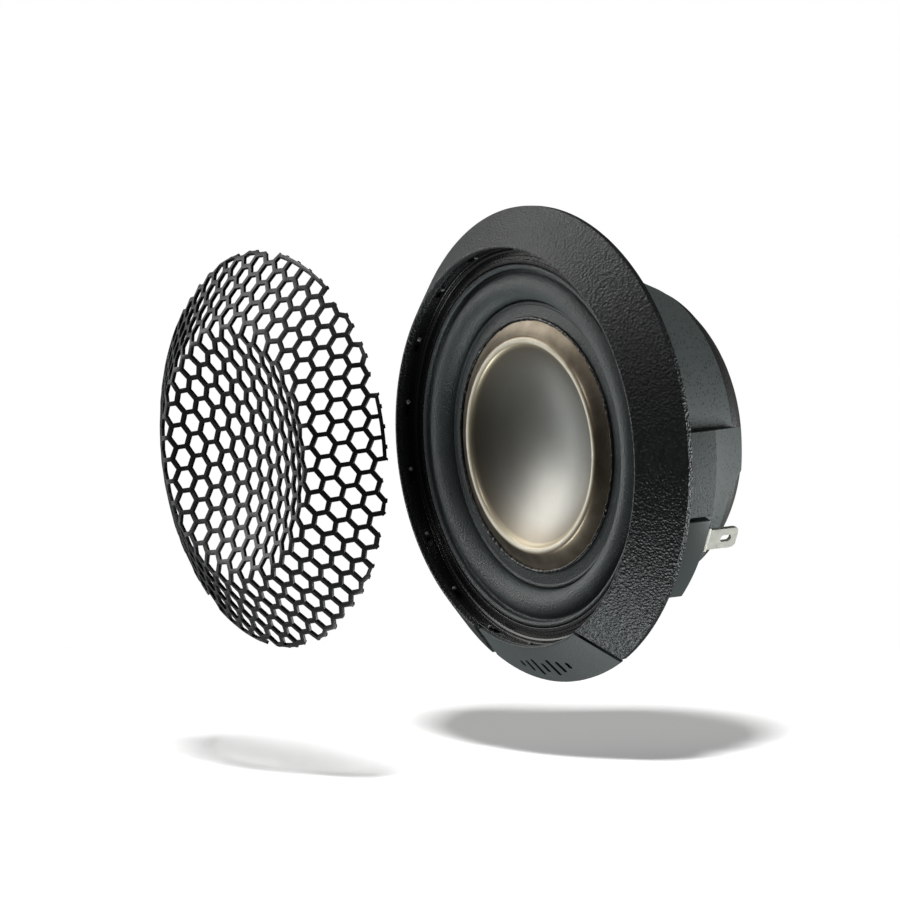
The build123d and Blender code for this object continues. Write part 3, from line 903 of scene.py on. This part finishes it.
def honeycomb(reach):
    """The flat web as vertices and faces: whole cells out to a reach, with short cut stubs outside."""
    hole = (PITCH - STRAND) / sqrt(3)
    steps = int(reach / COLUMN) + 3
    columns = range(-steps, steps + 1)
    cells = [(i * COLUMN, (j + 0.5 * (i % 2)) * PITCH) for i in columns for j in columns]
    away = np.hypot(*on_sheet(cells).T)
    whole = away < reach - RIM_CELL
    near = away < reach + 2 * CORNER
    points, limits, nodes, strands = [], [], {}, {}
    for index, cell in enumerate(cells):
        if not near[index]:
            continue
        first = len(points)
        points += [(cell[0] + hole * cos(pi / 3 * k), cell[1] + hole * sin(pi / 3 * k))
                   for k in range(6)]
        limits += [reach - STRAND if whole[index] else reach - BUMP] * 6
        keys = [corner_key(cell, k) for k in range(6)]
        for k in range(6):
            nodes.setdefault(keys[k], []).append((first + k, whole[index]))
            link = frozenset((keys[k], keys[(k + 1) % 6]))
            strands.setdefault(link, []).append((first + k, first + (k + 1) % 6, whole[index], keys[k]))
    faces = []
    kept = set()
    for key, corners in nodes.items():
        if len(corners) == 3 and any(used for _, used in corners):
            faces.append([i for i, _ in corners])
            kept.add(key)
    for link, sides in strands.items():
        if len(sides) < 2:
            continue
        (a, b, used_a, key_a), (c, d, used_c, _) = sides
        if used_a or used_c:
            faces.append([a, b, c, d])
            continue
        key_b = next(key for key in link if key != key_a)
        for key, here, there in ((key_a, (a, d), (b, c)), (key_b, (b, c), (a, d))):
            if key in kept:
                share = 0.05 + 0.18 * abs(noise.noise(Vector((key[0], key[1], 0.5)) * 3.1))
                ends = []
                for near_end, far_end in zip(here, there):
                    p, q = np.array(points[near_end]), np.array(points[far_end])
                    points.append(tuple(p + (q - p) * share))
                    limits.append(reach)
                    ends.append(len(points) - 1)
                faces.append([here[0], here[1], ends[1], ends[0]])
    flat = on_sheet(points)
    away = np.hypot(*flat.T)
    return flat * (np.minimum(away, limits) / away)[:, None], faces


def make_grille():
    """The honeycomb sheet pressed to its bowl and crest, with its strands' edges rounded."""
    points, length = grille_meridian()
    total = length[-1]
    rim_y = GRILLE_BACK_Y - SHEET / 2 - 0.03

    def meridian(at):
        return np.array([np.interp(at, length, points[:, 0]), np.interp(at, length, points[:, 1])])

    def formed(u, v, lift):
        """Where a point of the flat sheet goes when the sheet is pressed to shape."""
        at = min(hypot(u, v), total)
        slope = meridian(min(at + 0.15, total)) - meridian(max(at - 0.15, 0))
        slope /= np.linalg.norm(slope)
        r, height = meridian(at) + np.array([-slope[1], slope[0]]) * lift
        turn = atan2(v, u)
        return (GRILLE_X + r * cos(turn), rim_y - height, GRILLE_Z + r * sin(turn))

    flat, faces = honeycomb(total)
    used = sorted({i for face in faces for i in face})
    place = {old: new for new, old in enumerate(used)}
    faces = [[place[i] for i in face] for face in faces]
    flat = flat[used]
    for face in faces:
        middle = flat[face].mean(0)
        face.sort(key=lambda i: atan2(flat[i][1] - middle[1], flat[i][0] - middle[0]))
    count = len(flat)
    top = [formed(u, v, SHEET / 2) for u, v in flat]
    low = [formed(u, v, -SHEET / 2) for u, v in flat]
    uses = {}
    for face in faces:
        for a, b in zip(face, face[1:] + face[:1]):
            uses.setdefault(frozenset((a, b)), []).append((a, b))
    walls = [(b, a, a + count, b + count) for rim in uses.values() if len(rim) == 1 for a, b in rim]
    under = [[i + count for i in reversed(face)] for face in faces]
    grille = finish_mesh("honeycomb_grille", top + low, faces + under + walls, sharp=60)
    bevelled(grille, 0.14, 3, 50)
    return dress(grille, "grille", "grille_paint", "grille_mesh")


make_grille()

# ---- CAD nodes that keep their own shape ------------------------------------
KEPT = {"coil_former": "coil_former", "coil_winding": "coil_copper", "dome_damping_pad": "felt",
        "copper_cap": "copper", "pole_plate": "plated_steel", "magnet_disc": "magnet",
        "yoke_cup": "plated_steel", "rear_chamber_foam": "foam"}
for node, slot in KEPT.items():
    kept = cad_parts[node]
    kept.data.materials.clear()
    kept.data.materials.append(MATERIALS[slot])

# ---- camera ------------------------------------------------------------------
AZIMUTH, ELEVATION, ROLL = radians(54.549), radians(3.509), radians(-3.71)
DISTANCE = 1000.0
SENSOR = 36.0
VIEW_WIDTH = 112.86           # what the picture shows across, at the flange
ASIDE, ABOVE = 11.64, 0.72    # the flange stands right of the middle and a little over it


def make_camera():
    """The camera, and its right, up and back directions."""
    back = Vector((sin(AZIMUTH) * cos(ELEVATION), -cos(AZIMUTH) * cos(ELEVATION), sin(ELEVATION)))
    level = Vector((cos(AZIMUTH), sin(AZIMUTH), 0.0))
    above = back.cross(level)
    right = level * cos(ROLL) + above * sin(ROLL)
    up = above * cos(ROLL) - level * sin(ROLL)
    place = Vector((0.0, -FLANGE_EDGE, 0.0)) + back * DISTANCE - right * ASIDE - up * ABOVE
    camera = bpy.data.objects.new("camera", bpy.data.cameras.new("camera"))
    turn = Matrix((right, up, back)).transposed().to_4x4()
    camera.matrix_world = Matrix.Translation(place * MM) @ turn
    camera.data.sensor_width = SENSOR
    camera.data.lens = SENSOR * DISTANCE / VIEW_WIDTH
    camera.data.clip_start = 0.01
    camera.data.clip_end = 20.0
    bpy.context.scene.collection.objects.link(camera)
    bpy.context.scene.camera = camera
    return right, up, back


cam_right, cam_up, cam_back = make_camera()


# ---- light, floor and background ---------------------------------------------
FLOOR_DROP = 39.2             # from the speaker's axis down to the floor
FLOOR_TILT = radians(3.5)     # how far the camera looks down on the floor
FLOOR_LEAN = 0.014            # how far the floor leans to the left, as a slope
FLOOR_R = 0.22                # in metres, as are the two below
FADE_FROM, FADE_TO = 0.08, 0.20   # the floor is whole within the first and gone at the second
LIGHT_DISTANCE = 700          # from the origin to every light


def softbox(name, way, size, power, colour=(1, 1, 1)):
    """A flat light in a direction from the speaker, its sides in mm, which the camera can't see."""
    light = bpy.data.lights.new(name, "AREA")
    light.energy = power
    light.color = colour
    light.shape = "RECTANGLE"
    light.size, light.size_y = size[0] * MM, size[1] * MM
    holder = bpy.data.objects.new(name, light)
    direction = Vector(way).normalized()
    holder.location = direction * LIGHT_DISTANCE * MM
    holder.rotation_euler = direction.to_track_quat("Z", "Y").to_euler()
    holder.visible_camera = False
    bpy.context.scene.collection.objects.link(holder)
    return holder


def share_lights(for_speaker, for_floor, floor):
    """Let some lights shine on all but the floor, and the others on the floor alone."""
    for name, holders, state in (("lights_of_the_piece", for_speaker, "EXCLUDE"),
                                 ("light_of_the_floor", for_floor, "INCLUDE")):
        group = bpy.data.collections.new(name)
        group.objects.link(floor)
        group.collection_objects[0].light_linking.link_state = state
        for holder in holders:
            holder.light_linking.receiver_collection = group


studio = [
    softbox("key", (-0.78, -0.56, 0.42), (420, 420), 2.1, (1.0, 0.985, 0.95)),
    softbox("left", (-0.95, -0.25, -0.05), (300, 500), 0.6, (0.93, 0.98, 1.0)),
    softbox("top", (-0.50, -0.18, 1.0), (120, 120), 1.3, (0.93, 1.0, 0.99)),
    softbox("spark", (0.42, -0.62, 0.66), (30, 30), 0.7),
    softbox("rear", (0.35, 0.85, -0.28), (260, 320), 4.2, (0.95, 1.0, 0.99)),
    softbox("low", (-0.12, -0.22, -1.0), (300, 300), 3.4, (0.94, 1.0, 0.99)),
]
shade_way = cam_up + cam_back * 1.05 - cam_right * 0.12
shade_light = softbox("shade", shade_way, (110, 110), 7.6)


def lobe(nodes, links, direction, way, power, colour):
    """A soft glow of the surroundings towards one direction."""
    dot = nodes.new("ShaderNodeVectorMath")
    dot.operation = "DOT_PRODUCT"
    links.new(direction, dot.inputs[0])
    dot.inputs[1].default_value = Vector(way).normalized()
    shape = nodes.new("ShaderNodeMath")
    shape.operation = "POWER"
    positive = nodes.new("ShaderNodeMath")
    positive.operation = "MAXIMUM"
    links.new(dot.outputs["Value"], positive.inputs[0])
    positive.inputs[1].default_value = 0.0
    links.new(positive.outputs[0], shape.inputs[0])
    shape.inputs[1].default_value = power
    glow = nodes.new("ShaderNodeVectorMath")
    glow.operation = "SCALE"
    glow.inputs[0].default_value = colour
    links.new(shape.outputs[0], glow.inputs["Scale"])
    return glow.outputs["Vector"]


# soft glows: the way they lie, how narrow they are and their colour
SURROUNDINGS = (
    ((-1.0, -0.15, 0.0), 2.0, (0.070, 0.082, 0.084)),
    ((-0.82, -0.48, -0.10), 5.0, (0.13, 0.125, 0.115)),
    ((-0.72, -0.42, -0.60), 6.0, (0.10, 0.10, 0.095)),
    ((-0.62, -0.30, 0.75), 6.0, (0.60, 0.595, 0.56)),
    ((0.9, 0.4, 0.3), 2.0, (0.07, 0.075, 0.075)),
    ((-0.2, 0.0, 1.0), 2.5, (0.08, 0.085, 0.085)),
    ((-0.1, -0.1, -1.0), 2.5, (0.16, 0.17, 0.17)),
)


def make_world():
    """A white background, and a dark studio with a few soft glows for all reflected light."""
    world = bpy.data.worlds.new("studio")
    bpy.context.scene.world = world
    world.use_nodes = True
    nodes, links = world.node_tree.nodes, world.node_tree.links
    direction = nodes.new("ShaderNodeTexCoord").outputs["Generated"]
    total = None
    for way, power, colour in SURROUNDINGS:
        glow = lobe(nodes, links, direction, way, power, colour)
        if total is not None:
            add = nodes.new("ShaderNodeVectorMath")
            links.new(total, add.inputs[0])
            links.new(glow, add.inputs[1])
            glow = add.outputs["Vector"]
        total = glow
    base = nodes.new("ShaderNodeVectorMath")
    links.new(total, base.inputs[0])
    base.inputs[1].default_value = (0.020, 0.018, 0.016)
    shade = nodes["Background"]
    links.new(base.outputs["Vector"], shade.inputs["Color"])
    plain = nodes.new("ShaderNodeBackground")
    plain.inputs["Color"].default_value = (1.0, 1.0, 1.0, 1.0)
    path = nodes.new("ShaderNodeLightPath")
    mix = nodes.new("ShaderNodeMixShader")
    links.new(path.outputs["Is Camera Ray"], mix.inputs[0])
    links.new(shade.outputs[0], mix.inputs[1])
    links.new(plain.outputs[0], mix.inputs[2])
    links.new(mix.outputs[0], nodes["World Output"].inputs["Surface"])


def make_floor():
    """A white sheet whose edge fades into the white surroundings."""
    normal = cam_up * cos(FLOOR_TILT) + cam_back * sin(FLOOR_TILT) - cam_right * FLOOR_LEAN
    middle = Vector((0, -20 * MM, 0)) - normal * FLOOR_DROP * MM
    bpy.ops.mesh.primitive_circle_add(vertices=96, radius=FLOOR_R, fill_type="NGON", location=middle)
    floor = bpy.context.object
    floor.name = "floor"
    floor.rotation_euler = normal.to_track_quat("Z", "Y").to_euler()
    material = bpy.data.materials.new("floor_paper")
    material.use_nodes = True
    nodes, links = material.node_tree.nodes, material.node_tree.links
    bsdf = nodes["Principled BSDF"]
    bsdf.inputs["Base Color"].default_value = (0.95, 0.95, 0.95, 1.0)
    bsdf.inputs["Roughness"].default_value = 1.0
    bsdf.inputs["Specular IOR Level"].default_value = 0.0
    bsdf.inputs["Emission Color"].default_value = (1, 1, 1, 1)
    bsdf.inputs["Emission Strength"].default_value = 0.22
    place = nodes.new("ShaderNodeTexCoord")
    length = nodes.new("ShaderNodeVectorMath")
    length.operation = "LENGTH"
    links.new(place.outputs["Object"], length.inputs[0])
    fade = nodes.new("ShaderNodeMapRange")
    fade.inputs["From Min"].default_value = FADE_FROM
    fade.inputs["From Max"].default_value = FADE_TO
    fade.inputs["To Min"].default_value = 1.0
    fade.inputs["To Max"].default_value = 0.0
    links.new(length.outputs["Value"], fade.inputs["Value"])
    links.new(fade.outputs["Result"], bsdf.inputs["Alpha"])
    floor.data.materials.append(material)
    floor.visible_diffuse = False
    floor.visible_glossy = False
    floor.visible_shadow = False
    return floor


make_world()
share_lights(studio, [shade_light], make_floor())
bpy.context.scene.view_settings.view_transform = "Standard"
bpy.context.scene.view_settings.look = "None"
